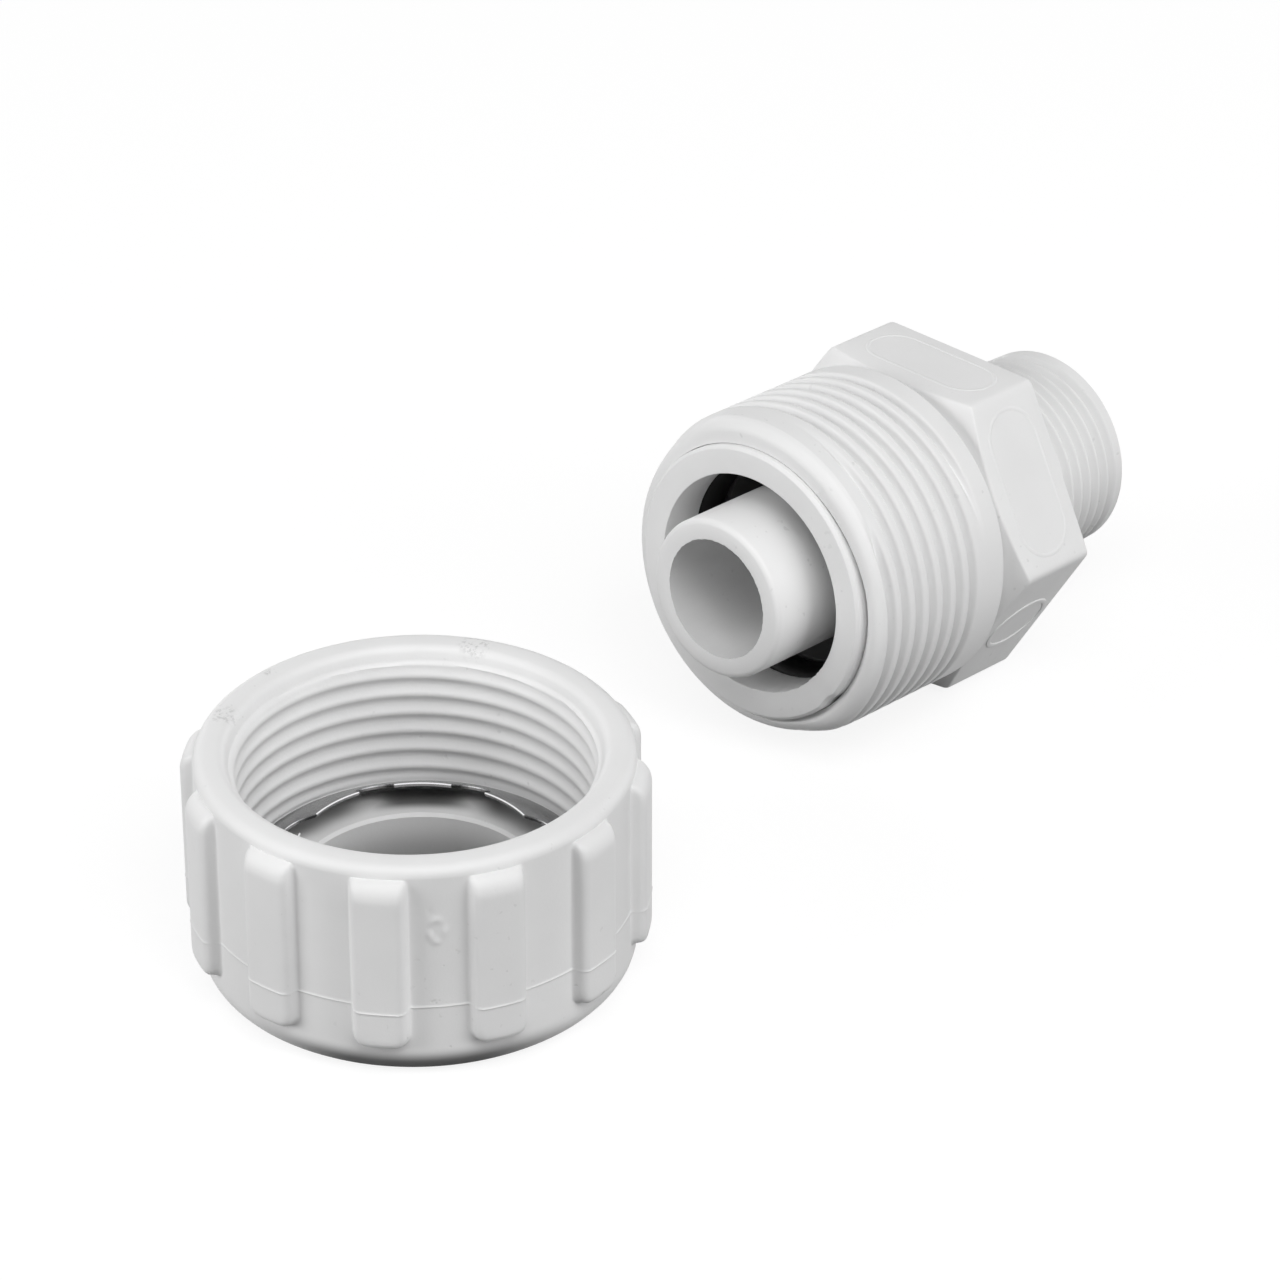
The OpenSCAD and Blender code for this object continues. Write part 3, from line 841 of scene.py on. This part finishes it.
def nutWall(height, turned, depth):
    # the ridges begin in a cone under the mouth and die out just over the floor
    leadIn = nut["mouthFoot"] - nut["leadInSlope"] * (nut["mouthFloor"] - height)
    kept = smoothShare(height, nut["floor"] + nut["relief"], nut["floor"] + nut["ridgeFoot"])
    return np.maximum(nut["threadRadius"] - depth * kept, leadIn)


def buildNut():
    angles = set()
    for k in range(nut["ribs"]):
        for c in ribColumns:
            angles |= {round((nut["ribTurn"] + 30 * k + c) % 360, 3),
                       round((nut["ribTurn"] + 30 * k - c) % 360, 3)}
        angles.add(round((nut["ribTurn"] + 30 * k + 15) % 360, 3))
    angles |= {round((nut["gateTurn"] + c) % 360, 3) for c in np.arange(-4.5, 4.6, 0.5)}
    angles = np.array(sorted(angles))
    skin = newSkin(angles)
    foot = nut["footRounding"]
    base = ringsOf(skin, roundedPath([
        (nut["floor"] - nut["holeChamfer"], nut["holeRadius"], 0),
        (nut["holeChamfer"], nut["holeRadius"], 0),
        (0, nut["holeRadius"] + nut["holeChamfer"], 0),
        (0, nut["radius"] - foot, 0),
    ]))
    wall = []
    for k in range(1, 9):
        t = math.pi / 2 * k / 8
        height = foot * (1 - math.cos(t))
        radius = nut["radius"] - foot * (1 - math.sin(t))
        wall.append(addRing(skin, height, nutOuter(angles, height, radius)))
    heights = [nut["ribFoot"] + up for up in footRows]
    heights += [nut["partingLine"] + up for up in partingRows] + list(plainRows)
    heights += [nut["gateHeight"] + up for up in np.arange(-2.5, 2.61, 0.3)]
    heights += [nut["ribEnd"] - down for down in topRows]
    wall += [addRing(skin, h, nutOuter(angles, h, nut["radius"])) for h in heights]
    rim = nut["rimRounding"]
    top = ringsOf(skin, roundedPath([
        (nut["height"] - rim, nut["radius"], 0),
        (nut["height"], nut["radius"], rim - 0.05),
        (nut["height"], nut["mouthRadius"], nut["mouthRounding"]),
        (nut["mouthFloor"] + 0.3, nut["mouthFoot"] + 0.05, 0),
        (nut["mouthFloor"], nut["mouthFoot"] - 0.04, 0),
    ], 5))
    bridge(skin, base + wall + top)
    relief = nut["floor"] + nut["relief"]
    threadLow = addRing(skin, relief, nut["threadRadius"])
    threadWall(skin, dict(nutThread, wall=nutWall), threadLow, top[-1], relief, nut["mouthFloor"])
    floor = ringsOf(skin, roundedPath([
        (relief - 0.05, nut["threadRadius"], 0),
        (nut["floor"], nut["threadRadius"], 0.35),
        (nut["floor"], nut["holeRadius"] + nut["holeChamfer"], 0.05),
        (nut["floor"] - nut["holeChamfer"], nut["holeRadius"], 0),
    ])[:-1])
    bridge(skin, [threadLow] + floor + [base[0]])
    return makePiece("clampNut", skin, [nutPlastic])


clampNut = buildNut()
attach(clampNut, "root")
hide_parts("clamp_nut")

# Grip ring, lying on the nut's floor
grip = {
    "floor": 9.9, "outerRadius": 20.9, "tipRadius": 14.25, "gapEnd": 17.45, "gapWidth": 4.4,
    "teeth": 8, "toothTurn": -2.3, "slope": 31, "thickness": 0.5, "columns": 20,
    "burr": 0.17, "rimRows": (20.2, 19.3, 18.4), "tipRows": (14.9, 14.55),
}


def gapAngle(radius):
    # half the angle that a gap takes at a radius; its end is round
    half = grip["gapWidth"] / 2
    centre = grip["gapEnd"] - half
    if radius >= grip["gapEnd"]:
        return 0.0
    if radius <= math.hypot(centre, half):
        return math.degrees(math.asin(half / radius))
    return math.degrees(math.acos((radius**2 + centre**2 - half**2) / (2 * radius * centre)))


def buildGrip():
    teeth, n = grip["teeth"], grip["columns"]
    period = 360 / teeth
    half = grip["gapWidth"] / 2
    centre = grip["gapEnd"] - half
    radii = [grip["outerRadius"], *grip["rimRows"]]
    firstGap = len(radii)
    radii += [centre + half * math.cos(math.radians(t)) for t in range(0, 91, 10)]
    radii += [*grip["tipRows"], grip["tipRadius"] + grip["burr"]]
    skin = newSkin([0])
    sheet = {}
    # three layers: the upper face, the sheared edge a little below and inside it, the lower face
    layers = ((grip["thickness"], 0), (grip["thickness"] - grip["burr"], grip["burr"]), (0, 0))
    for side, (lift, drawn) in enumerate(layers):
        for j, outline in enumerate(radii):
            radius = outline - drawn * (j == len(radii) - 1)
            height = grip["floor"] + lift + (grip["outerRadius"] - radius) * math.tan(
                math.radians(grip["slope"]))
            for k in range(teeth):
                gap = gapAngle(radius)
                start = grip["toothTurn"] + period * (k - 0.5)
                a = start + gap + (period - 2 * gap) * np.arange(n + 1) / n
                made = addPoints(skin, np.full(n + 1, height), np.full(n + 1, radius), a)
                for i in range(n + 1):
                    sheet[side, j, k, i] = made[i]
            if gapAngle(radius) == 0:
                for k in range(teeth):
                    sheet[side, j, k, n] = sheet[side, j, (k + 1) % teeth, 0]
    rows = len(radii)
    for k in range(teeth):
        for i in range(n):
            for j in range(rows - 1):
                for side in (0, 2):
                    addFace(skin, (sheet[side, j, k, i], sheet[side, j + 1, k, i],
                                   sheet[side, j + 1, k, i + 1], sheet[side, j, k, i + 1]))
            # the upper strip of each cut edge gets the bright steel, a painted highlight, and the rest
            # of the edge the dark steel, painted shade
            for j in (0, rows - 1):
                for side in (0, 1):
                    addFace(skin, (sheet[side, j, k, i], sheet[side, j, k, i + 1],
                                   sheet[side + 1, j, k, i + 1], sheet[side + 1, j, k, i]),
                            1 + side)
        for i in (0, n):
            for j in range(firstGap, rows - 1):
                for side in (0, 1):
                    addFace(skin, (sheet[side, j, k, i], sheet[side, j + 1, k, i],
                                   sheet[side + 1, j + 1, k, i], sheet[side + 1, j, k, i]),
                            1 + side)
    return makePiece("gripRing", skin, [shadedSheetSteel, highlightedEdgeSteel, shadedSheetSteel], None, 30)


gripRing = buildGrip()
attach(gripRing, "root")
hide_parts("grip_ring")
print("pieces ready")

# Ground, lights and camera: the ground's size and the lamps' distances are in metres
studio = {
    "groundSize": 4.0, "groundGap": 0.02, "groundSeen": 0.9, "groundBounce": 0.2,
    "groundGlow": 0.8, "groundBrightness": 1.07, "groundRoughness": 0.9,
    "skyLight": 0.03,
    # each lamp: direction from the x axis, angle above the ground, distance, width, watts
    "lamps": {
        "leftLamp": (-116, 20, 0.9, 0.5, 4.9),
        "highRightLamp": (-5, 50, 0.9, 0.5, 2.6),
        "lowRightLamp": (14, 20, 0.9, 0.5, 3.0),
        "frontLamp": (-47, 57, 0.9, 0.5, 2.9),
        "backLeftLamp": (160, 13, 0.9, 0.5, 1.7),
        "backRightLamp": (98, 13, 0.9, 0.5, 1.7),
    },
}
view = {
    "place": (379.8, -366.5, 364.0), "target": (-29.3, 69.15, 0.0),
    "lens": 152.3, "sensor": 36.0,
}
lampAim = Vector((-5, 45, 15)) * metresPerUnit


def seenDirectly(tree):
    # 1 for rays that start at the camera, a reflection or glass, and 0 for other light
    path = tree.nodes.new("ShaderNodeLightPath")
    seen = mathNode(tree, "MAXIMUM", path.outputs["Is Camera Ray"], path.outputs["Is Glossy Ray"])
    return mathNode(tree, "MAXIMUM", seen, path.outputs["Is Transmission Ray"])


def buildGround():
    half = studio["groundSize"] / 2
    mesh = bpy.data.meshes.new("ground")
    # a little under the pieces, so that no two faces lie in one plane
    under = -studio["groundGap"] * metresPerUnit
    corners = [(x, y, under) for x, y in ((-half, -half), (half, -half), (half, half), (-half, half))]
    mesh.from_pydata(corners, [], [(0, 1, 2, 3)])
    ground = bpy.data.objects.new("ground", mesh)
    bpy.context.scene.collection.objects.link(ground)
    material = bpy.data.materials.new("groundPaper")
    material.use_nodes = True
    tree = material.node_tree
    shader = tree.nodes["Principled BSDF"]
    shader.inputs["Roughness"].default_value = studio["groundRoughness"]
    shader.inputs["Specular IOR Level"].default_value = 0.0
    glow = tree.nodes.new("ShaderNodeEmission")
    glow.inputs["Strength"].default_value = studio["groundBrightness"]
    seen = seenDirectly(tree)
    share = mathNode(tree, "MULTIPLY", seen, studio["groundGlow"])
    bounce = studio["groundBounce"]
    paper = mathNode(tree, "MULTIPLY_ADD", seen, studio["groundSeen"] - bounce, bounce)
    tree.links.new(paper, shader.inputs["Base Color"])
    mix = tree.nodes.new("ShaderNodeMixShader")
    tree.links.new(share, mix.inputs[0])
    tree.links.new(shader.outputs[0], mix.inputs[1])
    tree.links.new(glow.outputs[0], mix.inputs[2])
    tree.links.new(mix.outputs[0], tree.nodes["Material Output"].inputs["Surface"])
    mesh.materials.append(material)


def buildLight():
    scene = bpy.context.scene
    sky = scene.world or bpy.data.worlds.new("sky")
    scene.world = sky
    sky.use_nodes = True
    tree = sky.node_tree
    tree.nodes.clear()
    skyLight = studio["skyLight"]
    strength = mathNode(tree, "MULTIPLY_ADD", seenDirectly(tree), 1 - skyLight, skyLight)
    back = tree.nodes.new("ShaderNodeBackground")
    tree.links.new(strength, back.inputs["Strength"])
    back.inputs["Color"].default_value = (1, 1, 1, 1)
    out = tree.nodes.new("ShaderNodeOutputWorld")
    tree.links.new(back.outputs[0], out.inputs["Surface"])
    for name, (direction, rise, distance, size, power) in studio["lamps"].items():
        lamp = bpy.data.lights.new(name, "AREA")
        lamp.size = size
        lamp.energy = power
        holder = bpy.data.objects.new(name, lamp)
        around, up = math.radians(direction), math.radians(rise)
        holder.location = lampAim + distance * Vector((
            math.cos(around) * math.cos(up), math.sin(around) * math.cos(up), math.sin(up)))
        holder.rotation_euler = (lampAim - holder.location).to_track_quat("-Z", "Y").to_euler()
        scene.collection.objects.link(holder)
    scene.view_settings.view_transform = "Standard"


def buildCamera():
    camera = bpy.data.cameras.new("camera")
    camera.lens = view["lens"]
    camera.sensor_width = view["sensor"]
    holder = bpy.data.objects.new("camera", camera)
    holder.location = Vector(view["place"]) * metresPerUnit
    aim = Vector(view["target"]) * metresPerUnit - holder.location
    holder.rotation_euler = aim.to_track_quat("-Z", "Y").to_euler()
    bpy.context.scene.collection.objects.link(holder)
    bpy.context.scene.camera = holder


buildGround()
buildLight()
buildCamera()
print("studio ready")
